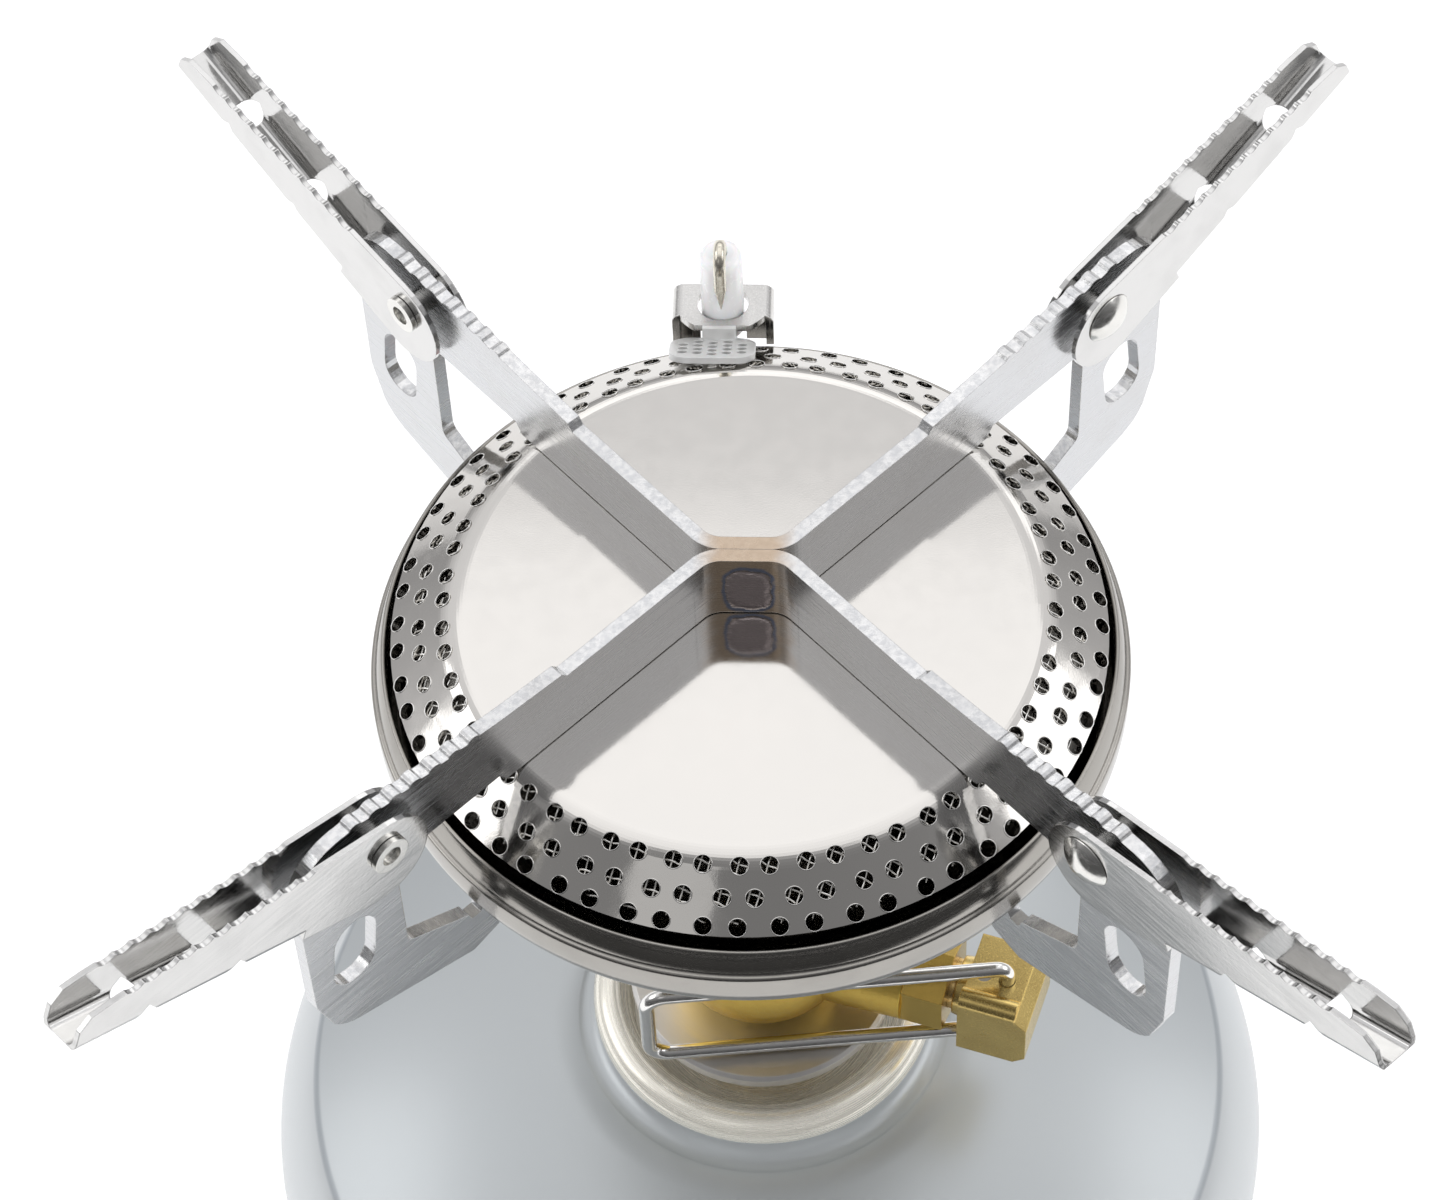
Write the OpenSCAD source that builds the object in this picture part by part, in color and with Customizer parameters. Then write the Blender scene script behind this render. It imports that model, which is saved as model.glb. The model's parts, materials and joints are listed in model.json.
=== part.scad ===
// Canister-top camping stove on its gas canister, stood on a level surface.
// Origin at the centre of the canister's foot, +Z up, the front of the stove towards -Y.

/* [Canister] */
// Outer radius of the canister's straight wall
can_r = 51.1; // [50:0.1:52]
// Height at which the straight wall ends
wall_top = 62.3; // [60:0.1:64]
// Radius of the fine line between shoulder and dome
dome_r = 46.3; // [46:0.1:46.6]
// Height of that line
dome_z = 73.5; // [73:0.1:74]
// Thickness of the canister's sheet steel
can_t = 0.6; // [0.4:0.1:0.8]
// Radius of the curl's centre line round the valve cup
curl_r = 15.2; // [15:0.1:15.4]
// Radius of the curl's own round section
curl_tube = 1.9; // [1.8:0.1:2]
// Height of the curl's centre
curl_z = 86.4; // [86.2:0.1:86.6]
// Outer radius of the threaded nipple
nipple_r = 5.45; // [5.4:0.01:5.47]
// Height of the nipple's top
nipple_top = 94; // [93.8:0.1:94]

/* [Gas valve] */
// Outer radius of the stove's base disc
disc_r = 13.2; // [12:0.1:15]
// Radius of the valve body's round middle
dome_body_r = 9.4; // [9:0.1:9.5]
// Height of the round middle's centre
dome_body_z = 98.6; // [98.4:0.1:98.8]
// Height of the spindle's axis
spindle_z = 98.3; // [98.2:0.1:98.4]
// Direction of the spindle, in degrees from +X
spindle_turn = -17; // [-30:1:0]
// Length of the wire bail from its hinge to its closed end
bail_len = 34.8; // [30:0.1:38]
// Radius of the bail's wire
bail_wire = 0.75; // [0.6:0.05:0.8]

/* [Burner] */
// Height of the burner cap's flat top
cap_z = 154; // [150:0.5:160]
// Outer radius of the cap's skirt
skirt_r = 31.7; // [31.5:0.1:31.9]
// Outer radius of the bowl
bowl_r = 33.8; // [33.6:0.1:33.8]
// Thickness of the pressed burner sheet
burner_t = 0.6; // [0.4:0.1:0.8]
// Radius of one flame hole
flame_hole_r = 0.75; // [0.5:0.05:0.8]
// Pairs of flame holes in each row
flame_pairs = 30; // [20:1:30]
// Outer radius of the mixing tube
tube_r = 7; // [6.9:0.1:7.4]

/* [Pot supports] */
// Angle of each arm from the X axis
arm_turn = 46.2; // [42:0.2:48]
// Thickness of the support strips
strip_t = 1.3; // [1:0.1:1.4]
// Distance of the strip's bend from the middle
bend_x = 3.37; // [3:0.01:4]
// Distance of the arm's pivot from the strip's bend
pivot_s = 38.8; // [38:0.1:39]
// Height of the pivot above the cap
pivot_h = 6; // [5.8:0.1:6.2]
// Width over the folding arm's two sides
channel_w = 4.1; // [3.8:0.1:4.4]
// Sheet thickness of the folding arm
channel_t = 0.5; // [0.4:0.1:0.6]

/* [Igniter] */
// Sideways place of the igniter behind the burner
spark_x = -3.4; // [-5:0.1:-2]
// Distance of the igniter behind the middle
spark_y = 35; // [35:0.1:36]
// Radius of the ceramic insulator
ceramic_r = 2; // [1.8:0.1:2]
// Radius of the electrode's wire
electrode_r = 0.57; // [0.4:0.01:0.57]
// Travel room below the igniter's housing for the button
button_travel = 4; // [3:0.1:4]

/* [Hidden] */
$fn = 96;

// Gap of a running fit and of two faces that slide past each other
fit = 0.05;
// A small overrun, so that a cut passes right through a face
over = 0.5;

// Points along an arc, from angle a0 to a1 in n steps
function arc(x, y, r, a0, a1, n = 8) =
    [for (i = [0:n]) [x + r * cos(a0 + (a1 - a0) * i / n), y + r * sin(a0 + (a1 - a0) * i / n)]];

// ---- Canister ----

// Height of the seam between the wall and the base
seam_z = 9;
// Corner radius at the foot, and the radius where the flat foot ends inside
foot_corner = 4;
foot_in = 45.6;
// Radius and height where the hollow underside starts, and the height of its middle
hollow_r = 44.4;
hollow_edge = 1.6;
hollow_mid = 11;
hollow_arc = (pow(hollow_r, 2) + pow(hollow_mid - hollow_edge, 2)) / (2 * (hollow_mid - hollow_edge));
// Shoulder arc from the wall to the fine line
shoulder_arc = (pow(dome_z - wall_top, 2) + pow(can_r - dome_r, 2)) / (2 * (can_r - dome_r));
shoulder_turn = asin((dome_z - wall_top) / shoulder_arc);
// Dome arc, which starts steeper at the line and is nearly level at the neck
dome_arc = 80.5;
dome_from = 60;
dome_to = 80;
// Concave ring round the neck
ring_r = 18.2;
ring_z = 85;
ring_arc = 2.1;

function shell_line(inset) = concat(
    [[can_r - inset, seam_z]],
    arc(can_r - shoulder_arc, wall_top, shoulder_arc - inset, 0, shoulder_turn, 12),
    arc(dome_r - dome_arc * cos(dome_from), dome_z - dome_arc * sin(dome_from),
        dome_arc - inset, dome_from + 0.5, dome_to, 12),
    arc(ring_r, ring_z, ring_arc + inset, -70, -180),
    [[ring_r - ring_arc - inset, curl_z]]
);

function reversed(list) = [for (i = [len(list) - 1:-1:0]) list[i]];

module canister_shell() {
    color("slategray")
        rotate_extrude()
            difference() {
                polygon(concat(shell_line(0), reversed(shell_line(can_t))));
                translate([curl_r, curl_z])
                    circle(r = curl_tube);
            }
}

function base_line(inset) = concat(
    [[can_r - inset, seam_z]],
    arc(can_r - foot_corner, foot_corner, foot_corner - inset, 0, -90),
    [[foot_in + inset / 2, inset], [hollow_r + inset / 2, hollow_edge + inset / 2]],
    arc(0, hollow_mid - hollow_arc, hollow_arc + inset, acos(hollow_r / hollow_arc) + 1, 90, 10)
);

module canister_base() {
    color("slategray")
        rotate_extrude()
            polygon(concat(base_line(0), reversed(base_line(can_t))));
}

// Radius of the nipple's bore and of the hole in its top
nipple_in = 4.85;
nipple_hole = 1.6;
// Heights of the cup's floor
cup_floor = 83.2;

module valve_cup() {
    color("gainsboro")
        rotate_extrude() {
            translate([curl_r, curl_z])
                circle(r = curl_tube);
            polygon([
                [curl_r - 1.2, curl_z], [13.1, cup_floor + 0.7], [12.2, cup_floor],
                [6.3, cup_floor], [nipple_r, cup_floor + 0.8], [nipple_r, nipple_top],
                [nipple_hole, nipple_top], [nipple_hole, nipple_top - can_t],
                [nipple_in, nipple_top - can_t], [nipple_in, cup_floor + 0.4],
                [6, cup_floor - can_t], [12.4, cup_floor - can_t], [13.6, cup_floor + 0.1],
                [curl_r - 0.9, curl_z - 1.1]
            ]);
        }
}

// Heights inside the canister's own valve, which the stove's pin holds open
gasket_z = 92;
gasket_hole = 1.5;
stem_top = 92.5;
stem_head = [89.6, 90.9];
cage_foot = 84;
cage_r = 3.6;
cage_in = 2.9;
cage_t = 0.8;

module stem_gasket() {
    color("dimgray")
        translate([0, 0, gasket_z])
            ring(nipple_in, gasket_hole, nipple_top - can_t - gasket_z);
}

module ring(outer, inner, height) {
    difference() {
        cylinder(r = outer, h = height);
        translate([0, 0, -over])
            cylinder(r = inner, h = height + 2 * over);
    }
}

module stem_housing() {
    color("ivory")
        difference() {
            union() {
                translate([0, 0, gasket_z - 2 * cage_t])
                    cylinder(r = nipple_in, h = 2 * cage_t);
                translate([0, 0, cage_foot])
                    cylinder(r = cage_r, h = gasket_z - cage_foot);
            }
            translate([0, 0, cage_foot + cage_t])
                cylinder(r = cage_in, h = gasket_z - cage_foot);
            translate([0, 0, cage_foot - over])
                cylinder(r = gasket_hole, h = 2);
        }
}

module valve_stem() {
    color("whitesmoke") {
        translate([0, 0, stem_head[0]])
            cylinder(r = cage_in - 0.3, h = stem_head[1] - stem_head[0]);
        translate([0, 0, stem_head[1]])
            cylinder(r = gasket_hole - 0.4, h = stem_top - stem_head[1]);
        translate([0, 0, stem_head[0] - 2.5])
            cylinder(r = 1, h = 2.5);
    }
}

// A coil spring as one tube with round-ish section, swept up along its helix
module coil(radius, wire, height, turns) {
    sides = 8;
    steps = turns * 12;
    rise = height - 2 * wire;
    points = [for (i = [0:steps]) for (k = [0:sides - 1])
        let (a = 360 * turns * i / steps, b = 360 * k / sides, r = radius + wire * cos(b))
            [r * cos(a), r * sin(a), wire + rise * i / steps + wire * sin(b)]];
    walls = [for (i = [0:steps - 1]) for (k = [0:sides - 1])
        let (p = i * sides + k, q = i * sides + (k + 1) % sides)
            [p, p + sides, q + sides, q]];
    start = [[for (k = [0:sides - 1]) k]];
    end = [[for (k = [sides - 1:-1:0]) steps * sides + k]];
    polyhedron(points = points, faces = concat(walls, start, end));
}

module stem_spring() {
    color("silver")
        translate([0, 0, cage_foot + cage_t])
            coil(1.9, 0.25, stem_head[0] - cage_foot - cage_t, 5);
}

// ---- Gas valve ----

seal_wire = 0.9;
seal_z = nipple_top + fit + seal_wire;
socket_r = nipple_r + fit;
socket_top = seal_z + seal_wire + fit;
boss_r = 6.7;
disc_z = 90;
disc_t = 1.7;
neck_r = tube_r - 0.8;
neck_top = 111;
jet_bore = 2.5;
jet_bore_z = 107.2;
pin_r = 1;

module base_seal() {
    color("dimgray")
        rotate_extrude()
            translate([3.9, seal_z])
                circle(r = seal_wire, $fn = 32);
}

module base_disc() {
    edge = 0.35;
    color("lightgray")
        rotate_extrude()
            polygon([
                [boss_r, disc_z], [disc_r - edge, disc_z], [disc_r, disc_z + edge],
                [disc_r, disc_z + disc_t - edge], [disc_r - edge, disc_z + disc_t],
                [boss_r, disc_z + disc_t]
            ]);
}

// Places along the spindle's axis, measured from the stove's own axis
barrel_end = 15.5;
nut_end = 19.7;
block_from = 21.3;
block_end = 28.2;
chamber_from = 6.6;
// Place of the needle's point, in the passage to the jet
needle_from = 5.2;
spindle_r = 2.5;
chamber_r = spindle_r + fit;
spigot_r = 3.6;
spigot_from = 12;

// Turns its children so that +X runs along the spindle
module on_spindle() {
    translate([0, 0, spindle_z])
        rotate([0, 0, spindle_turn])
            children();
}

// A round bar along the spindle from one place to another
module bar(from, to, r, r_end = undef) {
    translate([from, 0, 0])
        rotate([0, 90, 0])
            cylinder(r1 = r, r2 = is_undef(r_end) ? r : r_end, h = to - from);
}

module valve_body() {
    color("goldenrod")
        difference() {
            union() {
                translate([0, 0, dome_body_z])
                    sphere(r = dome_body_r);
                translate([0, 0, disc_z])
                    cylinder(r = boss_r, h = dome_body_z - disc_z);
                translate([0, 0, dome_body_z])
                    cylinder(r = neck_r, h = neck_top - dome_body_z);
                on_spindle()
                    bar(0, barrel_end, 5.4, 4.8);
            }
            translate([0, 0, disc_z - 2])
                cylinder(r = socket_r, h = socket_top - disc_z + 2);
            translate([0, 0, socket_top - over])
                cylinder(r = pin_r, h = 1.3 + over);
            translate([0, 0, spindle_z])
                cylinder(r = 0.8, h = neck_top);
            translate([0, 0, jet_bore_z])
                cylinder(r = jet_bore, h = neck_top);
            on_spindle() {
                bar(0, chamber_from + over, 0.8);
                bar(chamber_from, barrel_end + over, chamber_r);
                bar(spigot_from, barrel_end + over, spigot_r);
                translate([3.2, 0, -3])
                    rotate([0, 70, 0])
                        cylinder(r = 0.5, h = 5);
            }
        }
}

module opening_pin() {
    color("darkgoldenrod")
        translate([0, 0, stem_top + 0.1])
            cylinder(r = pin_r, h = socket_top + 1.3 - stem_top - 0.1);
}

module gas_jet() {
    hex_h = 3.2;
    nozzle_h = 2.8;
    color("gold")
        difference() {
            union() {
                translate([0, 0, jet_bore_z])
                    cylinder(r = jet_bore, h = neck_top - jet_bore_z + over);
                translate([0, 0, neck_top])
                    cylinder(r = 4.6, h = hex_h, $fn = 6);
                translate([0, 0, neck_top + hex_h])
                    cylinder(r1 = 2.6, r2 = 1.8, h = nozzle_h);
            }
            translate([0, 0, jet_bore_z - over])
                cylinder(r = 0.9, h = neck_top + hex_h + nozzle_h - jet_bore_z);
            translate([0, 0, neck_top])
                cylinder(r = 0.2, h = hex_h + nozzle_h + over);
        }
}

module packing_nut() {
    color("goldenrod")
        on_spindle()
            difference() {
                union() {
                    bar(spigot_from, barrel_end + over, spigot_r);
                    translate([barrel_end, 0, 0])
                        rotate([0, 90, 0])
                            cylinder(r = 4.8, h = nut_end - barrel_end, $fn = 6);
                }
                bar(spigot_from - over, nut_end + over, chamber_r);
            }
}

// Groove of the spindle that holds its O-ring
groove_from = 13;
groove_w = 1.2;
groove_r = 1.5;
// How far the spindle reaches into the control block
spindle_end = 23.9;
shank_r = 2;
cross_pin_s = 22.7;
cross_pin_r = 0.8;

module spindle() {
    color("khaki")
        on_spindle()
            difference() {
                union() {
                    bar(needle_from, chamber_from + 1, 0.3, 1);
                    bar(chamber_from + 1, groove_from, spindle_r);
                    bar(groove_from - over, groove_from + groove_w + over, groove_r);
                    bar(groove_from + groove_w, 20.25, spindle_r);
                    bar(20, spindle_end, shank_r);
                }
                translate([cross_pin_s, 0, -shank_r - over])
                    cylinder(r = cross_pin_r, h = 2 * (shank_r + over));
            }
}

module spindle_o_ring() {
    wire = (chamber_r - fit - groove_r) / 2;
    color("black")
        on_spindle()
            translate([groove_from + groove_w / 2, 0, 0])
                rotate([0, 90, 0])
                    rotate_extrude()
                        translate([groove_r + wire, 0])
                            circle(r = wire, $fn = 32);
}

// Control block that the bail turns
block_half = 4.3;
block_side = 4.35;
hinge_s = 25;
hinge_hole = bail_wire + fit;
hinge_depth = 3.4;

module control_block() {
    chamfer = 1.2;
    collar_from = 20.3;
    rib_r = 1.15;
    top = block_half - rib_r;
    color("goldenrod")
        on_spindle()
            difference() {
                union() {
                    translate([block_from, block_side, -block_half])
                        rotate([90, 0, 0])
                            linear_extrude(2 * block_side)
                                polygon([
                                    [0, 0], [block_end - block_from - chamfer, 0],
                                    [block_end - block_from, chamfer],
                                    [block_end - block_from, top + block_half - chamfer],
                                    [block_end - block_from - chamfer, top + block_half],
                                    [0, top + block_half]
                                ]);
                    bar(collar_from, block_from + over, 2.9, block_half - rib_r);
                    translate([0, rib_r - block_side, top])
                        bar(block_from, block_end - chamfer, rib_r);
                }
                bar(collar_from - over, spindle_end, shank_r);
                translate([cross_pin_s, 0, -block_half - over])
                    cylinder(r = cross_pin_r, h = 2 * (block_half + over));
                translate([hinge_s, 0, top - hinge_depth])
                    cylinder(r = hinge_hole, h = hinge_depth + over);
                translate([hinge_s, 0, -block_half - over])
                    cylinder(r = hinge_hole, h = hinge_depth + over);
            }
}

module block_pin() {
    color("dimgray")
        on_spindle()
            translate([cross_pin_s, 0, -block_half + 0.2])
                cylinder(r = cross_pin_r, h = 2 * block_half - 1.6);
}

// Direction of the folded bail and the half distance between its legs
bail_turn = 186.3;
leg_h = 5.4;
bail_bend = 2;
eye_bend = 1.2;

// A quarter of a bent wire, in the XZ plane, from +X towards +Z
module wire_bend(bend) {
    rotate([90, 0, 0])
        rotate_extrude(angle = 90)
            translate([bend, 0])
                circle(r = bail_wire);
}

module wire_bail() {
    color("lightgray")
        translate([hinge_s * cos(spindle_turn), hinge_s * sin(spindle_turn), spindle_z])
            rotate([0, 0, bail_turn]) {
                for (side = [0, 1])
                    mirror([0, 0, side]) {
                        translate([eye_bend, 0, leg_h])
                            rotate([0, 90, 0])
                                cylinder(r = bail_wire, h = bail_len - eye_bend - bail_bend);
                        translate([bail_len - bail_bend, 0, leg_h - bail_bend])
                            wire_bend(bail_bend);
                        translate([eye_bend, 0, leg_h - eye_bend])
                            mirror([1, 0, 0])
                                wire_bend(eye_bend);
                        translate([0, 0, block_half - hinge_depth + 0.4])
                            cylinder(r = bail_wire, h = leg_h - eye_bend - block_half + hinge_depth - 0.4);
                    }
                translate([bail_len, 0, bail_bend - leg_h])
                    cylinder(r = bail_wire, h = 2 * (leg_h - bail_bend));
            }
}

// ---- Burner ----

bowl_floor = cap_z - 14.4;
bowl_corner = 4.5;
bowl_t = 0.8;
rim_r = 32.3;
rim_z = cap_z - 5.2;
lip_r = 33.3;

module mixing_tube() {
    air_hole_r = 2.6;
    color("silver")
        difference() {
            translate([0, 0, neck_top - 3])
                ring(tube_r, neck_r, bowl_floor + bowl_t - neck_top + 3);
            for (turn = [45, 135])
                translate([0, 0, neck_top + 8])
                    rotate([90, 0, turn])
                        cylinder(r = air_hole_r, h = 3 * tube_r, center = true);
        }
}

module burner_bowl() {
    bend_z = bowl_floor + bowl_corner;
    bend_r = bowl_r - bowl_corner;
    color("dimgray")
        rotate_extrude()
            polygon(concat(
                [[rim_r, rim_z], [rim_r + 0.4, rim_z], [lip_r, cap_z - 7], [lip_r, cap_z - 7.5],
                    [bowl_r, cap_z - 7.8]],
                arc(bend_r, bend_z, bowl_corner, 0, -90),
                [[tube_r, bowl_floor], [tube_r, bowl_floor + bowl_t]],
                arc(bend_r, bend_z, bowl_corner - bowl_t, -90, 0),
                [[bowl_r - bowl_t, cap_z - 8.2], [rim_r, cap_z - 7.6]]
            ));
}

// Cap outline: level top, rounded shoulder, sloping band with the flame holes, and skirt
shoulder_start = 24.8;
shoulder_r = 4;
band_slope = 37;
band_end = 31.1;
skirt_foot = cap_z - 12.2;
band_start_r = shoulder_start + shoulder_r * sin(band_slope);
band_start_z = cap_z - shoulder_r * (1 - cos(band_slope));
function band_z(r) = band_start_z - (r - band_start_r) * tan(band_slope);

function cap_line(inset) = concat(
    [[0, cap_z - inset]],
    arc(shoulder_start, cap_z - shoulder_r, shoulder_r - inset, 90, 90 - band_slope, 10),
    [[band_end - inset * 0.6, band_z(band_end) - inset],
        [skirt_r - inset, band_z(skirt_r) - inset * 0.4], [skirt_r - inset, skirt_foot]]
);

// Radius, slope and sideways shift of each row of flame holes
rows = [[26.9, 31, 2.85], [29.1, band_slope, 0], [31.07, band_slope, -2.8]];
pair_gap = 5.4;

module burner_cap() {
    color("gainsboro")
        difference() {
            rotate_extrude()
                polygon(concat(cap_line(0), reversed(cap_line(burner_t))));
            for (row = rows)
                for (i = [0:flame_pairs - 1])
                    for (side = [-0.5, 0.5])
                        rotate([0, 0, row[2] - 90 + 360 * i / flame_pairs + side * pair_gap])
                            translate([row[0], 0, band_z(row[0])])
                                rotate([0, row[1], 0])
                                    cylinder(r = flame_hole_r, h = 3, center = true);
        }
}

module wire_mesh() {
    mesh_t = 0.4;
    edge = skirt_r - burner_t;
    color("dimgray")
        rotate_extrude()
            polygon([
                [18, cap_z - 1.4], [25.6, cap_z - 1.4], [edge, band_z(edge) - 1.4],
                [edge, band_z(edge) - 1.4 - mesh_t], [25.4, cap_z - 1.4 - mesh_t],
                [18, cap_z - 1.4 - mesh_t]
            ]);
}

// ---- Pot supports ----

// Each arm's place: sides of the stove in X and Y
ARMS = [[-1, -1], [1, -1], [-1, 1], [1, 1]];
bend_mid = 3;
bend_tangent = bend_mid * tan(arm_turn / 2);
strip_top = 7.7;
// The strips rest on their hooks and clear the cap by this much
strip_gap = 0.12;
rivet_r = 1.2;

// Puts its children on one arm: +X outwards along it, Z from the cap's top.
// The heads of the rivets lie on the same hand of all four arms.
module on_arm(arm) {
    turn = arm[0] * arm[1] * arm_turn + (arm[0] < 0 ? 180 : 0);
    translate([arm[0] * bend_x, arm[1] * strip_t / 2, cap_z])
        rotate([0, 0, turn])
            children();
}

// A flat plate in the arm's own upright plane, centred on it
module upright(thickness) {
    rotate([90, 0, 0])
        linear_extrude(thickness, center = true)
            children();
}

// Side view of one half of a support strip: bar, window over the burner's rim, and a hook
// whose claw reaches up to the bowl's floor
module strip_half() {
    claw_top = bowl_floor - cap_z - 0.1;
    outer = 47.7;
    inner = 37.3;
    kink = [24, 8.9];
    bump_from = 27.5;
    bump_pitch = 2.18;
    bump_r = 0.85;
    bump_sunk = 0.45;
    bump_turn = asin(bump_sunk / bump_r);
    bumps = 7;
    rise = 0.08;
    slot_r = 2.3;
    slot_lean = 7.7;
    difference() {
        polygon(concat(
            [[bend_tangent, strip_gap], [24.6, strip_gap], [25.4, 1.3]],
            arc(inner - 1.5, -0.2, 1.5, 90, 0, 4),
            arc(inner - 1.2, -10.9, 1.2, 0, -60, 4),
            [[30.7, -15.2], [30.3, -16.2], [29.3, -16.2], [28.6, claw_top], [27.2, claw_top]],
            arc(28.3, -18.4, 2, 150, 250, 5),
            [[30.6, -21.2]],
            arc(42, -12.3, 5, -70, -30, 4),
            arc(outer - 1.6, -10.3, 1.6, -20, 0, 3),
            arc(outer - 5.2, pivot_h - 0.9, 5.2, 0, 88),
            [for (i = [bumps - 1:-1:0])
                let (s = bump_from + i * bump_pitch)
                for (p = arc(s, kink[1] + (s - kink[0]) * rise - bump_sunk, bump_r,
                        bump_turn + 4, 176 - bump_turn, 5)) p],
            [kink, [17.6, 8.4], [17, strip_top], [bend_tangent, strip_top]]
        ));
        polygon(concat(
            arc(42.6, -4.8, slot_r, slot_lean, 180 + slot_lean, 12),
            arc(43.1, -8.5, slot_r, 180 + slot_lean, 360 + slot_lean, 12)
        ));
        translate([pivot_s, pivot_h])
            circle(r = rivet_r);
    }
}

// Plan of a strip's middle, with the bend towards each of its two arms and a short lap onto it.
// It is a hair thicker and lower than the arms, so that no two faces coincide.
module strip_middle() {
    hair = 0.01;
    lap = 1;
    x = bend_x - bend_tangent;
    y = -strip_t / 2 - bend_mid;
    outer = bend_mid + strip_t / 2 + hair;
    inner = bend_mid - strip_t / 2 - hair;
    turn = 90 - arm_turn;
    half = concat(
        [[0, y + outer]],
        arc(x, y, outer, 90, turn),
        [[x + outer * cos(turn) + lap * cos(arm_turn), y + outer * sin(turn) - lap * sin(arm_turn)],
            [x + inner * cos(turn) + lap * cos(arm_turn), y + inner * sin(turn) - lap * sin(arm_turn)]],
        arc(x, y, inner, turn, 90),
        [[0, y + inner]]
    );
    translate([0, 0, cap_z + strip_gap + hair])
        linear_extrude(strip_top - strip_gap - 2 * hair)
            polygon(concat(half, [for (p = reversed(half)) if (p[0] > 0) [-p[0], p[1]]]));
}

module support_strip(side) {
    for (arm = ARMS)
        if (arm[1] == side)
            on_arm(arm)
                upright(strip_t)
                    strip_half();
    mirror([0, side > 0 ? 1 : 0, 0])
        strip_middle();
}

module support_front() {
    color("lightgray")
        support_strip(-1);
}

module support_back() {
    color("lightgray")
        support_strip(1);
}

module pivot_rivets() {
    head_r = 2.5;
    head_h = 1.1;
    ball_r = (pow(head_r, 2) + pow(head_h, 2)) / (2 * head_h);
    tail_r = 1.8;
    tail_hole = 0.95;
    tail_h = 0.5;
    seat = channel_w / 2 + fit;
    color("silver")
        for (arm = ARMS)
            on_arm(arm)
                translate([pivot_s, 0, pivot_h])
                    rotate([90, 0, 0]) {
                        translate([0, 0, -seat])
                            cylinder(r = rivet_r, h = 2 * seat);
                        translate([0, 0, seat])
                            intersection() {
                                translate([0, 0, head_h - ball_r])
                                    sphere(r = ball_r);
                                cylinder(r = head_r, h = head_h + over);
                            }
                        translate([0, 0, -seat - tail_h])
                            ring(tail_r, tail_hole, tail_h);
                    }
}

// Folding arm: a channel bent from one sheet, with its web along the lower edge and an eye
// at the pivot. The straight lower edge leaves the eye at this slope.
eye_s = 39.3;
eye_z = 4.9;
eye_r = 4.8;
bottom_slope = 21.9;
bend_r = 1.3;
// Distance along the arm at which the web starts
web_from = 48.4;
arm_end = 75;

// Side view of a folding arm, with the teeth along its upper edge
module arm_side() {
    top_slope = 11.5;
    teeth = 11;
    tooth_pitch = 1.75;
    tooth_from = 46.6;
    tooth_r = 1.3;
    top_s = eye_s - eye_r * sin(top_slope);
    top_z = eye_z + eye_r * cos(top_slope);
    tip_s = 66.5;
    difference() {
        polygon(concat(
            arc(eye_s, eye_z, eye_r, bottom_slope - 90, top_slope - 270, 16),
            [[tip_s, top_z + (tip_s - top_s) * tan(top_slope)], [68.6, 15.6], [70, 14.8],
                [70.9, 12.9], [70.75, 12.3], [66.06, 10.35], [63.5, 11.4], [62.4, 8.9],
                [57.2, 6.85], [54.6, 7.62], [53.4, 5.3]]
        ));
        for (i = [0:teeth - 1])
            translate([tooth_from + i * tooth_pitch,
                    top_z + (tooth_from + i * tooth_pitch - top_s) * tan(top_slope) + 1])
                circle(r = tooth_r, $fn = 32);
    }
}

// Sweeps a section, drawn upwards from the lower edge, along that edge from the web's start
module along_fold() {
    translate([eye_s, 0, eye_z])
        rotate([0, -bottom_slope, 0])
            translate([(web_from - eye_s - eye_r * sin(bottom_slope)) / cos(bottom_slope), 0, -eye_r])
                rotate([90, 0, 90])
                    linear_extrude(arm_end - web_from)
                        children();
}

module folding_arm(arm) {
    hair = 0.01;
    half = channel_w / 2;
    inner = half - channel_t;
    inner_bend = bend_r - channel_t;
    color("silver")
        on_arm(arm)
            difference() {
                upright(channel_w)
                    arm_side();
                upright(2 * (inner + hair))
                    translate([30, -10])
                        square([web_from - 30, 40]);
                along_fold()
                    polygon(concat(
                        arc(inner_bend - inner, bend_r, inner_bend, 180, 270, 6),
                        arc(inner - inner_bend, bend_r, inner_bend, 270, 360, 6),
                        [[inner, 20], [-inner, 20]]
                    ));
                for (side = [0, 1])
                    mirror([0, side, 0])
                        along_fold()
                            translate([half - bend_r, bend_r])
                                difference() {
                                    translate([0, -2 * bend_r])
                                        square(2 * bend_r);
                                    circle(r = bend_r + hair);
                                }
                translate([pivot_s, 0, pivot_h])
                    rotate([90, 0, 0])
                        cylinder(r = rivet_r + fit, h = 2 * channel_w, center = true);
            }
}

module arm_front_left() {
    folding_arm(ARMS[0]);
}

module arm_front_right() {
    folding_arm(ARMS[1]);
}

module arm_back_left() {
    folding_arm(ARMS[2]);
}

module arm_back_right() {
    folding_arm(ARMS[3]);
}

// ---- Igniter ----

// Heights from the cap's top: bracket plate, and the housing under the burner
plate_top = -1.8;
plate_t = 0.8;
plate_half = 4;
wall_t = 0.7;
housing_top = -15.8;
housing_foot = -46;
housing_half = plate_half - 0.1;
housing_front = 30.8;
housing_back = 39;
housing_wall = 1.2;
screw_y = 35.4;
screw_z = -24;
screw_r = 0.9;

// A box from one corner to the opposite one
module block(from, to) {
    translate(from)
        cube(to - from);
}

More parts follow.
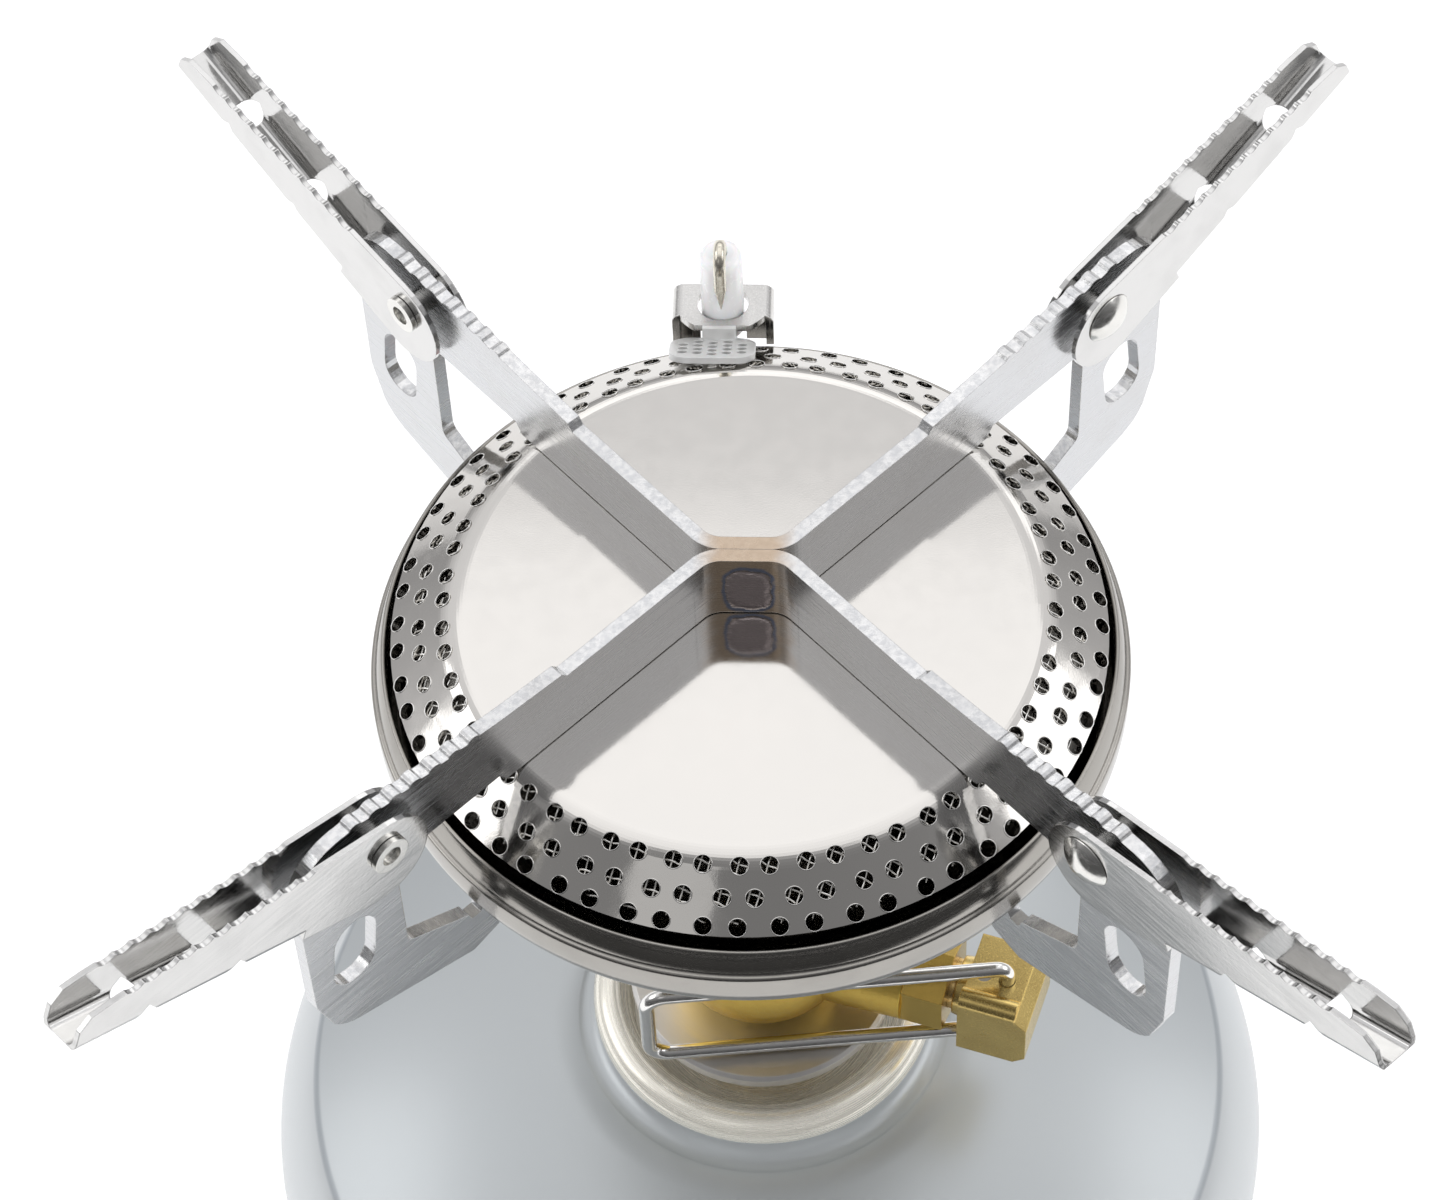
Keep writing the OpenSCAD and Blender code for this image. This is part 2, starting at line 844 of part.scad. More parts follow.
module igniter_bracket() {
    front = spark_y - 2.7;
    back = spark_y + 2.2;
    left = spark_x - plate_half;
    right = spark_x + plate_half;
    strap_top = bowl_floor - cap_z;
    bend = 1.1;
    right_foot = -6;
    flange = 1.85;
    hair = 0.01;
    color("silver")
        translate([0, 0, cap_z])
            difference() {
                union() {
                    translate([0, 0, plate_top - plate_t])
                        linear_extrude(plate_t)
                            intersection() {
                                translate([left, front])
                                    square([2 * plate_half, back - front]);
                                translate([spark_x, spark_y + 1.6])
                                    circle(r = 5);
                            }
                    // Left wall, which runs down beside the housing, with its front flange
                    block([left - wall_t, 33.5, -30], [left, back, plate_top]);
                    block([left - wall_t, 34.2, housing_top], [left + flange, 34.9, plate_top - plate_t]);
                    // Right wall with its shorter flange
                    block([right, 33.5, right_foot], [right + wall_t, back, plate_top]);
                    block([right - flange, 34.2, right_foot], [right + wall_t, 34.9, plate_top - plate_t]);
                    // Strap welded under the bowl
                    block([left - wall_t, 20, strap_top - plate_t], [left + flange, 34.9, strap_top]);
                }
                // Rounded bends from the plate into its walls
                for (side = [0, 1])
                    translate([spark_x, back + over, plate_top - bend])
                        mirror([side, 0, 0])
                            translate([plate_half + wall_t - bend, 0, 0])
                                rotate([90, 0, 0])
                                    linear_extrude(back - front + 2 * over)
                                        difference() {
                                            square(2 * bend);
                                            circle(r = bend + hair);
                                        }
                for (side = [-0.35, 0.35])
                    translate([spark_x + side, spark_y, plate_top - plate_t - over])
                        cylinder(r = ceramic_r + fit, h = plate_t + 2 * over);
                translate([left - wall_t - over, screw_y, screw_z])
                    rotate([0, 90, 0])
                        cylinder(r = screw_r, h = wall_t + 2 * over);
            }
}

module spark_target() {
    tab_w = 7.9;
    tab_l = 6.3;
    tab_t = 0.6;
    corner = 2;
    tilt = 34.7;
    hole_pitch_x = 1.36;
    hole_pitch_y = 1.17;
    columns = [3, 4, 4, 4, 3];
    color("gainsboro")
        translate([spark_x - 0.75, spark_y - 3.2, cap_z - 3]) {
            rotate([-tilt, 0, 0])
                translate([0, -tab_l / 2, -tab_t])
                    linear_extrude(tab_t)
                        difference() {
                            union() {
                                square([tab_w - 2 * corner, tab_l], center = true);
                                square([tab_w, tab_l - 2 * corner], center = true);
                                for (x = [-1, 1], y = [-1, 1])
                                    translate([x * (tab_w / 2 - corner), y * (tab_l / 2 - corner)])
                                        circle(r = corner);
                            }
                            for (i = [0:len(columns) - 1])
                                for (j = [0:columns[i] - 1])
                                    translate([(i - 2) * hole_pitch_x,
                                            (j - (columns[i] - 1) / 2) * hole_pitch_y
                                            + (i % 2 - 0.5) * 0.4])
                                        circle(r = 0.45);
                        }
            translate([-1.05, 0, 0])
                rotate([90, 0, 90])
                    linear_extrude(3.1)
                        polygon([[-0.6, -0.2], [-0.3, -0.9], [0.5, 0.4], [0.5, 1.2], [0.1, 1.2]]);
        }
}

module insulator() {
    head_top = 5.4;
    step = -4.8;
    foot = housing_top - 1.7;
    color("white")
        translate([spark_x, spark_y, cap_z])
            difference() {
                union() {
                    translate([0, 0, step])
                        cylinder(r = ceramic_r, h = head_top - step - 0.8);
                    translate([0, 0, head_top - 0.8])
                        rotate_extrude()
                            polygon(concat([[0, 0], [ceramic_r, 0]],
                                arc(ceramic_r - 0.8, 0, 0.8, 0, 90, 5), [[0, 0.8]]));
                    translate([0, 0, foot])
                        cylinder(r = 1.25, h = step - foot);
                }
                translate([0, 0, foot - over])
                    cylinder(r = electrode_r + 0.03, h = head_top - foot + 2 * over);
            }
}

module electrode() {
    hook = 1.35;
    hook_z = 5.9;
    point_z = [3.4, 0.6];
    foot = housing_top - 1.7;
    color("silver")
        translate([spark_x, spark_y, cap_z]) {
            translate([0, 0, foot])
                cylinder(r = electrode_r, h = hook_z - foot);
            translate([0, -hook, hook_z])
                rotate([90, 0, 90])
                    rotate_extrude(angle = 180)
                        translate([hook, 0])
                            circle(r = electrode_r);
            translate([0, -2 * hook, point_z[0]])
                cylinder(r = electrode_r, h = hook_z - point_z[0]);
            translate([0, -2 * hook, point_z[1]])
                cylinder(r1 = 0.05, r2 = electrode_r, h = point_z[0] - point_z[1]);
        }
}

element_top = -18.5;
element_foot = -31;
cavity_front = housing_front + housing_wall;
cavity_back = housing_back - housing_wall;
cavity_half = housing_half - housing_wall;
button_y = (cavity_front + cavity_back) / 2;

module ignition_lead() {
    color("black")
        translate([spark_x, spark_y, cap_z + element_top])
            cylinder(r = 0.7, h = housing_top - 1.7 - element_top);
}

module piezo_element() {
    color("dimgray")
        translate([0, 0, cap_z])
            block([spark_x - cavity_half, cavity_front, element_foot],
                [spark_x + cavity_half, cavity_back, element_top]);
}

module piezo_housing() {
    color("black")
        translate([0, 0, cap_z])
            difference() {
                block([spark_x - plate_half, housing_front, housing_foot],
                    [spark_x + housing_half, housing_back, housing_top]);
                block([spark_x - cavity_half, cavity_front, housing_foot - over],
                    [spark_x + cavity_half, cavity_back, housing_top - 1.7]);
                translate([spark_x, spark_y, housing_top - 3])
                    cylinder(r = 1.25, h = 4);
                translate([spark_x - plate_half - over, screw_y, screw_z])
                    rotate([0, 90, 0])
                        cylinder(r = screw_r, h = 1.1 + over);
            }
}

module housing_screw() {
    head_r = 1.7;
    head_h = 1.1;
    color("silver")
        translate([spark_x - plate_half - wall_t, screw_y, cap_z + screw_z])
            rotate([0, 90, 0])
                difference() {
                    union() {
                        translate([0, 0, -head_h])
                            cylinder(r1 = head_r - 0.4, r2 = head_r, h = head_h);
                        cylinder(r = screw_r, h = wall_t + 1.1);
                    }
                    translate([-0.25, -head_r, -head_h - over])
                        cube([0.5, 2 * head_r, over + 0.6]);
                }
}

// Button: a guide inside the housing, with a well for its spring, and a wider cap below
guide_half = cavity_half - 0.3;
guide_top = element_foot - button_travel - 0.4;
well_r = 1.85;
well_foot = guide_top - 6;
cap_top = housing_foot - button_travel - 0.5;

module piezo_button() {
    color("firebrick")
        translate([0, 0, cap_z])
            difference() {
                union() {
                    block([spark_x - guide_half, cavity_front + 0.3, cap_top - over],
                        [spark_x + guide_half, cavity_back - 0.3, guide_top]);
                    translate([spark_x, button_y, cap_top - 3.5])
                        cylinder(r = 4.2, h = 3.5);
                }
                translate([spark_x, button_y, well_foot])
                    cylinder(r = well_r, h = guide_top - well_foot + over);
            }
}

module button_spring() {
    color("silver")
        translate([spark_x, button_y, cap_z + well_foot])
            coil(1.5, 0.25, element_foot - well_foot, 7);
}

canister_shell();
canister_base();
valve_cup();
stem_gasket();
stem_housing();
valve_stem();
stem_spring();
base_seal();
base_disc();
valve_body();
opening_pin();
gas_jet();
mixing_tube();
burner_bowl();
burner_cap();
wire_mesh();
support_front();
support_back();
pivot_rivets();
igniter_bracket();
spark_target();
insulator();
electrode();
ignition_lead();
piezo_element();
piezo_housing();
housing_screw();
packing_nut();
spindle();
spindle_o_ring();
control_block();
block_pin();
wire_bail();
arm_front_left();
arm_front_right();
arm_back_left();
arm_back_right();
piezo_button();
button_spring();
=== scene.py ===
"""Looks of the camping stove on its gas canister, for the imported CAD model.

Blender works in metres. Values that end in _mm are in millimetres, and MM turns them into metres.
"""
import json
import math

import bpy
from mathutils import Matrix, Vector


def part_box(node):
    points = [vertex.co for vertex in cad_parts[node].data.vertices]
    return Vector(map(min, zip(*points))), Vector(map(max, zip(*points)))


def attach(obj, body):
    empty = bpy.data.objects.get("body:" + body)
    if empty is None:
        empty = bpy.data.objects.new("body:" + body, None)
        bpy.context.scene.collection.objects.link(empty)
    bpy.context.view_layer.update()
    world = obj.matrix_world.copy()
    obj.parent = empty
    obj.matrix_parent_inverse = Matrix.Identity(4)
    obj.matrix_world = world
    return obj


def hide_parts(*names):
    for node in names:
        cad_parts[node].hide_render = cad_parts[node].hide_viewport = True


MM = 0.001

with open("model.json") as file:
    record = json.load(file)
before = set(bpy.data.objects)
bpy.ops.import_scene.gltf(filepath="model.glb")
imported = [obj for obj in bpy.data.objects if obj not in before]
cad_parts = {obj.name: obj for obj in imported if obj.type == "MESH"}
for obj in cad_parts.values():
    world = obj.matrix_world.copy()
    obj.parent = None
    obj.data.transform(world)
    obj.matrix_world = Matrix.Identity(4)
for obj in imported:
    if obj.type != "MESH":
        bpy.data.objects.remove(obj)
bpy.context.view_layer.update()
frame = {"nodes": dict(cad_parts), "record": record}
nodes = frame["nodes"]

CAP_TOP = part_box("burner_cap")[1].z
CAP_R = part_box("burner_cap")[1].x
BOWL_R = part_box("burner_bowl")[1].x


# ---------------------------------------------------------------- camera, light and floor

def make_camera():
    """A long lens from the front, a little to the right and well above."""
    place = Vector((0.01384, -0.21769, CAP_TOP + 0.30816))
    right = Vector((0.99904, 0.03293, -0.02883)).normalized()
    up = Vector((-0.01025, 0.81641, 0.57738)).normalized()
    back = right.cross(up)
    data = bpy.data.cameras.new("camera")
    data.sensor_width = 36
    data.lens = 107.5
    data.clip_start = 0.01
    data.clip_end = 20
    camera = bpy.data.objects.new("camera", data)
    camera.matrix_world = Matrix((
        (right.x, up.x, back.x, place.x),
        (right.y, up.y, back.y, place.y),
        (right.z, up.z, back.z, place.z),
        (0, 0, 0, 1),
    ))
    bpy.context.scene.collection.objects.link(camera)
    bpy.context.scene.camera = camera


def stage_sheet(name, half, y_from, y_to, height, grey):
    """A matt level sheet that belongs to the studio, not to the stove."""
    mesh = bpy.data.meshes.new(name)
    mesh.from_pydata(
        [(-half, y_from, height), (half, y_from, height), (half, y_to, height), (-half, y_to, height)],
        [], [(0, 1, 2, 3)])
    sheet = bpy.data.objects.new(name, mesh)
    bpy.context.scene.collection.objects.link(sheet)
    mat = bpy.data.materials.new(name)
    mat.use_nodes = True
    shader = mat.node_tree.nodes["Principled BSDF"]
    shader.inputs["Base Color"].default_value = (grey, grey, grey, 1)
    shader.inputs["Roughness"].default_value = 0.9
    mesh.materials.append(mat)
    return sheet, shader


def make_floor():
    """A wide pale floor, far larger than any view of the stove, that glows a little."""
    half = 6.0
    _, shader = stage_sheet("floor", half, -half, half, 0, 0.96)
    shader.inputs["Emission Color"].default_value = (1, 1, 1, 1)
    shader.inputs["Emission Strength"].default_value = 0.2


def make_flag():
    """A black flag that lies in front of the stove and shows only in the reflections."""
    flag, _ = stage_sheet("flag", 3.0, -4.0, -0.2, 0.002, 0.05)
    flag.visible_camera = False
    flag.visible_diffuse = False
    flag.visible_shadow = False


def soft_box(name, place, aim, width, height, power):
    """A rectangular studio light that points from place to aim."""
    data = bpy.data.lights.new(name, "AREA")
    data.shape = "RECTANGLE"
    data.size = width
    data.size_y = height
    data.energy = power
    lamp = bpy.data.objects.new(name, data)
    lamp.location = place
    lamp.rotation_euler = (Vector(aim) - Vector(place)).to_track_quat("-Z", "Y").to_euler()
    bpy.context.scene.collection.objects.link(lamp)
    return lamp


def make_world():
    """A white studio tent: bright above and behind, grey in front and towards the horizon."""
    world = bpy.data.worlds.new("studio")
    world.use_nodes = True
    tree = world.node_tree
    background = tree.nodes["Background"]
    coords = tree.nodes.new("ShaderNodeTexCoord")
    split = tree.nodes.new("ShaderNodeSeparateXYZ")
    tree.links.new(coords.outputs["Generated"], split.inputs[0])
    shades = []
    for axis, stops in (
            ("Z", ((0.0, 0.40), (0.16, 0.52), (0.36, 0.76), (0.60, 0.94), (1.0, 1.0))),
            ("Y", ((0.0, 0.20), (0.28, 0.30), (0.52, 0.84), (0.70, 1.0), (1.0, 1.0)))):
        ramp = tree.nodes.new("ShaderNodeValToRGB")
        ramp.color_ramp.interpolation = "EASE"
        while len(ramp.color_ramp.elements) < len(stops):
            ramp.color_ramp.elements.new(0.5)
        for element, (position, grey) in zip(ramp.color_ramp.elements, stops):
            element.position = position
            element.color = (grey, grey, grey * 1.01, 1)
        place = split.outputs[axis]
        if axis == "Y":
            shift = tree.nodes.new("ShaderNodeMath")
            shift.operation = "MULTIPLY_ADD"
            shift.inputs[1].default_value = 0.5
            shift.inputs[2].default_value = 0.5
            tree.links.new(place, shift.inputs[0])
            place = shift.outputs[0]
        tree.links.new(place, ramp.inputs[0])
        shades.append(ramp.outputs[0])
    both = tree.nodes.new("ShaderNodeMix")
    both.data_type = "RGBA"
    both.blend_type = "MULTIPLY"
    both.inputs[0].default_value = 1.0
    tree.links.new(shades[0], both.inputs[6])
    tree.links.new(shades[1], both.inputs[7])
    tree.links.new(both.outputs[2], background.inputs["Color"])
    background.inputs["Strength"].default_value = 0.95
    bpy.context.scene.world = world


def make_lights():
    aim = (0, 0, 0.13)
    soft_box("top_light", (0, 0.25, 1.4), aim, 1.4, 1.2, 2.2)
    soft_box("left_light", (-1.2, 0.1, 0.9), aim, 0.9, 0.6, 2.6)
    soft_box("right_light", (1.2, 0.2, 0.85), aim, 0.9, 0.6, 2.3)
    soft_box("back_light", (0.1, 1.4, 1.0), aim, 1.5, 0.6, 2.0)
    soft_box("front_light", (-0.45, -1.0, 1.25), aim, 0.5, 0.5, 0.3)
    # Fill from the front, which lights the paint and leaves the bright metal alone
    for name, side in (("fill_left", -0.6), ("fill_right", 0.6)):
        soft_box(name, (side, -1.1, 0.6), aim, 0.8, 0.6, 6.5).visible_glossy = False
    bpy.context.scene.view_settings.view_transform = "Standard"


# ---------------------------------------------------------------- materials

class Surface:
    """A Principled material and the few node tricks that the finishes below share."""

    def __init__(self, name, colour, metallic, roughness, **fixed):
        self.mat = bpy.data.materials.new(name)
        self.mat.use_nodes = True
        self.tree = self.mat.node_tree
        self.shader = self.tree.nodes["Principled BSDF"]
        self.colour = (*colour, 1)
        self.set_socket("Base Color", self.colour)
        self.set_socket("Metallic", metallic)
        self.set_socket("Roughness", roughness)
        for socket, value in fixed.items():
            self.set_socket(socket.replace("_", " "), value)
        coords = self.tree.nodes.new("ShaderNodeTexCoord")
        self.mm = self.add("ShaderNodeMapping", {0: coords.outputs["Object"], "Scale": (1000, 1000, 1000)})

    def set_socket(self, socket, value):
        self.shader.inputs[socket].default_value = value

    def link(self, output, socket):
        self.tree.links.new(output, self.shader.inputs[socket])

    def add(self, kind, inputs=None, **settings):
        """Adds a node, and returns its first output."""
        node = self.tree.nodes.new(kind)
        for key, value in settings.items():
            setattr(node, key, value)
        for key, value in (inputs or {}).items():
            if isinstance(value, bpy.types.NodeSocket):
                self.tree.links.new(value, node.inputs[key])
            else:
                node.inputs[key].default_value = value
        return node.outputs[0]

    def math(self, operation, a, b=0.0):
        return self.add("ShaderNodeMath", {0: a, 1: b}, operation=operation)

    def place(self, stretch=(1, 1, 1)):
        """Object coordinates in millimetres, stretched."""
        return self.add("ShaderNodeMapping", {0: self.mm, "Scale": stretch})

    def noise(self, scale, stretch=(1, 1, 1), detail=3.0, rough=0.55, vector=None):
        vector = vector or self.place(stretch)
        return self.add(
            "ShaderNodeTexNoise", {"Vector": vector, "Scale": scale, "Detail": detail, "Roughness": rough})

    def radius(self):
        """Distance from the stove's own axis, in millimetres."""
        x, y = self.axis(0), self.axis(1)
        return self.math("SQRT", self.math("ADD", self.math("MULTIPLY", x, x), self.math("MULTIPLY", y, y)))

    def lathe_place(self, along=1.0, around=1.0):
        """Coordinates for turning marks: radius and height, and only a little of the angle."""
        return self.add("ShaderNodeCombineXYZ", {
            0: self.math("MULTIPLY", self.radius(), along),
            1: self.math("MULTIPLY", self.math("ARCTAN2", self.axis(1), self.axis(0)), around),
            2: self.math("MULTIPLY", self.axis(2), along),
        })

    def axis(self, index, normal=False):
        """One coordinate in millimetres, or one part of the surface's direction."""
        split = self.tree.nodes.new("ShaderNodeSeparateXYZ")
        if normal:
            source = self.tree.nodes.new("ShaderNodeNewGeometry").outputs["Normal"]
        else:
            source = self.mm
        self.tree.links.new(source, split.inputs[0])
        return split.outputs[index]

    def span(self, value, low, high, to_low=0.0, to_high=1.0):
        """Maps low..high to to_low..to_high, eased and clamped."""
        return self.add(
            "ShaderNodeMapRange", {0: value, 1: low, 2: high, 3: to_low, 4: to_high},
            interpolation_type="SMOOTHSTEP")

    def mix(self, factor, a, b):
        node = self.tree.nodes.new("ShaderNodeMix")
        node.data_type = "RGBA"
        for key, value in ((0, factor), (6, a), (7, b)):
            if isinstance(value, bpy.types.NodeSocket):
                self.tree.links.new(value, node.inputs[key])
            else:
                node.inputs[key].default_value = value if key == 0 else (*value[:3], 1)
        return node.outputs[2]

    def edge(self, radius_mm, low=0.02, high=0.25):
        """1 along sharp edges, which the finishes below lighten: partly wear from handling, partly a painted
        highlight.
        """
        node = self.tree.nodes.new("ShaderNodeBevel")
        node.samples = 4
        node.inputs["Radius"].default_value = radius_mm * MM
        plain = self.tree.nodes.new("ShaderNodeNewGeometry")
        dot = self.tree.nodes.new("ShaderNodeVectorMath")
        dot.operation = "DOT_PRODUCT"
        self.tree.links.new(node.outputs[0], dot.inputs[0])
        self.tree.links.new(plain.outputs["Normal"], dot.inputs[1])
        return self.span(self.math("SUBTRACT", 1.0, dot.outputs["Value"]), low, high)

    def bump(self, *layers, round_mm=0.0):
        """Bump from pairs of a height and its depth in millimetres, over edges rounded by round_mm."""
        normal = None
        if round_mm:
            normal = self.add("ShaderNodeBevel", {"Radius": round_mm * MM}, samples=4)
        for height, depth_mm in layers:
            inputs = {"Height": height, "Distance": depth_mm * MM, "Strength": 1.0}
            if normal:
                inputs["Normal"] = normal
            normal = self.add("ShaderNodeBump", inputs)
        self.link(normal, "Normal")

    def vary_colour(self, factor, other, base=None):
        """Blends the base colour towards another one."""
        self.link(self.mix(factor, base or self.colour, other), "Base Color")

    def vary_roughness(self, factor, low, high):
        self.link(self.span(factor, 0.3, 0.7, low, high), "Roughness")


def canister_paint():
    s = Surface("canister_paint", (0.49, 0.515, 0.525), 0.5, 0.36, Coat_Weight=0.25, Coat_Roughness=0.15)
    flakes = s.noise(9.0, detail=1.0)
    cloud = s.noise(0.035, detail=2.0)
    radius = s.radius()
    line = s.math("MULTIPLY", s.span(radius, 45.9, 46.2), s.span(radius, 46.5, 46.8, 1.0, 0.0))
    band = s.span(radius, 46.3, 46.7)
    tint = s.mix(s.math("MULTIPLY", cloud, 0.35), s.colour, (0.47, 0.505, 0.53, 1))
    banded = s.mix(s.math("MULTIPLY", band, 0.6), tint, (0.60, 0.62, 0.63, 1))
    s.vary_colour(s.math("MULTIPLY", line, 0.55), (0.32, 0.35, 0.38), banded)
    s.vary_roughness(flakes, 0.33, 0.40)
    s.bump((flakes, 0.004), (s.noise(0.9, detail=2.0), 0.006))
    return s.mat


def steel(name, colour, roughness, streak=(0.12, 0.12, 5.0), depth=0.004, spread=0.06, metallic=1.0):
    """Rolled sheet steel with fine streaks, faint stains and brighter edges, partly wear and partly a painted
    highlight.
    """
    s = Surface(name, colour, metallic, roughness)
    streaks = s.noise(1.0, streak, detail=4.0)
    cloud = s.noise(0.22, detail=3.0)
    dark = tuple(c * 0.72 for c in colour)
    worn = s.mix(s.math("MULTIPLY", s.span(cloud, 0.42, 0.72), 0.25), s.colour, dark)
    bright = tuple(min(1.0, c * 1.25) for c in colour)
    # Edges lighter: partly wear, partly a painted highlight.
    s.vary_colour(s.math("MULTIPLY", s.edge(0.18), 0.7), bright, worn)
    s.vary_roughness(streaks, roughness - spread, roughness + spread)
    s.bump((streaks, depth), (s.noise(2.2, detail=2.0), 0.004), round_mm=0.12)
    return s


def turned_steel(name, colour, roughness, along=7.0, depth=0.006, spread=0.07, metallic=1.0):
    """Spun or turned steel with rings round the stove's axis."""
    s = Surface(name, colour, metallic, roughness)
    rings = s.noise(1.0, detail=4.0, vector=s.lathe_place(along, 1.2))
    cloud = s.noise(0.16, detail=3.0)
    dark = tuple(c * 0.7 for c in colour)
    worn = s.mix(s.math("MULTIPLY", s.span(cloud, 0.4, 0.75), 0.4), s.colour, dark)
    bright = tuple(min(1.0, c * 1.3) for c in colour)
    # Edges lighter: partly wear, partly a painted highlight.
    s.vary_colour(s.math("MULTIPLY", s.edge(0.2), 0.6), bright, worn)
    s.vary_roughness(rings, roughness - spread, roughness + spread)
    s.bump((rings, depth), round_mm=0.15)
    return s


def cap_steel():
    s = Surface("cap_steel", (0.66, 0.64, 0.61), 1.0, 0.09)
    grain = s.noise(6.0, detail=3.0)
    cloud = s.noise(0.07, detail=3.0)
    faint = s.mix(s.math("MULTIPLY", s.span(cloud, 0.4, 0.7), 0.35), s.colour, (0.69, 0.665, 0.63, 1))
    # Edges painted near white: mostly a painted highlight, partly wear.
    edge = s.edge(0.2, 0.03, 0.35)
    s.vary_colour(s.math("MULTIPLY", edge, 0.8), (0.95, 0.95, 0.94), faint)
    s.vary_roughness(s.noise(0.5, detail=4.0), 0.07, 0.11)
    s.bump((grain, 0.0015), (s.noise(0.25, detail=1.0), 0.004))
    return s.mat


def support_steel():
    """Bright strip with a torn, glittering cut edge and heat colours round the spot weld."""
    s = Surface("support_steel", (0.60, 0.605, 0.615), 1.0, 0.22)
    streaks = s.noise(1.0, (0.10, 0.10, 4.0), detail=4.0)
    cloud = s.noise(0.25, detail=3.0)
    base = s.mix(s.math("MULTIPLY", s.span(cloud, 0.4, 0.75), 0.25), s.colour, (0.52, 0.51, 0.50, 1))
    upward = s.span(s.math("ABSOLUTE", s.axis(2, normal=True)), 0.35, 0.6)
    torn = s.noise(1.6, (1, 1, 1), detail=4.0, rough=0.6)
    base = s.mix(s.math("MULTIPLY", upward, s.span(torn, 0.35, 0.65, 0.0, 0.45)), base, (0.90, 0.89, 0.87, 1))
    # Heat colours: straw and brown round the weld, blue at its edge, grey violet on the weld itself
    top = CAP_TOP / MM
    dx = s.math("DIVIDE", s.math("SUBTRACT", s.axis(0), 0.2), 2.1)
    dz = s.math("DIVIDE", s.math("SUBTRACT", s.axis(2), top + 3.4), 3.0)
    dx_cubed, dz_cubed = (s.math("POWER", s.math("ABSOLUTE", d), 3.0) for d in (dx, dz))
    far = s.math("ADD", dx_cubed, dz_cubed)
    far = s.math("ADD", far, s.math("MULTIPLY", s.math("SUBTRACT", s.noise(0.9), 0.5), 0.9))
    reach = s.math("ADD", s.math("ABSOLUTE", s.axis(0)), s.math("MULTIPLY", s.noise(0.6), 1.6))
    straw = s.span(reach, 3.0, 5.4, 1.0, 0.0)
    base = s.mix(s.math("MULTIPLY", straw, 0.75), base, (0.47, 0.33, 0.20, 1))
    front = s.span(s.axis(1, normal=True), -0.8, -0.5, 1.0, 0.0)
    near = s.math("MULTIPLY", front, s.span(reach, 3.2, 3.8, 1.0, 0.0))
    fringe = s.math("MULTIPLY", s.span(far, 0.75, 1.0), s.span(far, 1.15, 1.6, 1.0, 0.0))
    blue = s.math("MULTIPLY", near, fringe)
    base = s.mix(s.math("MULTIPLY", blue, 0.8), base, (0.14, 0.20, 0.34, 1))
    spot = s.math("MULTIPLY", near, s.span(far, 0.7, 0.95, 1.0, 0.0))
    base = s.mix(s.math("MULTIPLY", spot, 0.9), base, (0.40, 0.35, 0.37, 1))
    # Edges lighter: partly wear, partly a painted highlight.
    s.vary_colour(s.math("MULTIPLY", s.edge(0.15), 0.55), (0.95, 0.94, 0.92), base)
    s.vary_roughness(streaks, 0.18, 0.30)
    s.bump(
        (streaks, 0.004), (s.math("MULTIPLY", torn, upward), 0.025),
        (s.math("MULTIPLY", spot, s.span(far, 0.2, 0.95)), 0.10), round_mm=0.12)
    return s.mat


def brass(name, colour, roughness, grain, depth, spread=0.03):
    """Brass with a grain: coarse on castings, fine on machined faces."""
    s = Surface(name, colour, 1.0, roughness)
    pits = s.noise(grain, detail=4.0, rough=0.65)
    cloud = s.noise(0.35, detail=3.0)
    tarnish = tuple(c * k for c, k in zip(colour, (0.62, 0.56, 0.5)))
    base = s.mix(s.math("MULTIPLY", s.span(cloud, 0.4, 0.7), 0.2), s.colour, tarnish)
    bright = tuple(min(1.0, c * 1.25) for c in colour)
    # Edges lighter: partly wear, partly a painted highlight.
    s.vary_colour(s.math("MULTIPLY", s.edge(0.2), 0.7), bright, base)
    s.vary_roughness(pits, roughness - spread, roughness + spread)
    s.bump((pits, depth), round_mm=0.2)
    return s.mat


def wire_steel(name, colour, roughness):
    """Drawn wire: bright, with very fine scratches."""
    s = Surface(name, colour, 1.0, roughness)
    scratches = s.noise(3.0, (0.2, 1, 1), detail=4.0)
    s.vary_colour(s.math("MULTIPLY", s.span(scratches, 0.5, 0.8), 0.3), tuple(c * 0.7 for c in colour))
    s.vary_roughness(scratches, roughness - 0.05, roughness + 0.08)
    s.bump((scratches, 0.006))
    return s.mat


def ceramic():
    s = Surface("ceramic", (0.97, 0.97, 0.975), 0.0, 0.22, Coat_Weight=0.6, Coat_Roughness=0.08,
                Subsurface_Weight=0.15, Subsurface_Scale=0.0015)
    cloud = s.noise(0.5, detail=3.0)
    s.vary_colour(s.math("MULTIPLY", cloud, 0.3), (0.89, 0.885, 0.92))
    s.vary_roughness(s.noise(2.0), 0.18, 0.28)
    s.bump((s.noise(1.2, detail=3.0), 0.02))
    return s.mat


def plastic(name, colour, roughness, grain=5.0, depth=0.02):
    """Moulded plastic or rubber with a fine spark-eroded texture."""
    s = Surface(name, colour, 0.0, roughness)
    texture = s.noise(grain, detail=3.0)
    # Edges lighter: partly wear, partly a painted highlight.
    s.vary_colour(s.math("MULTIPLY", s.edge(0.3), 0.25), tuple(min(1, c * 1.6 + 0.03) for c in colour))
    s.vary_roughness(texture, roughness - 0.06, roughness + 0.06)
    s.bump((texture, depth))
    return s.mat


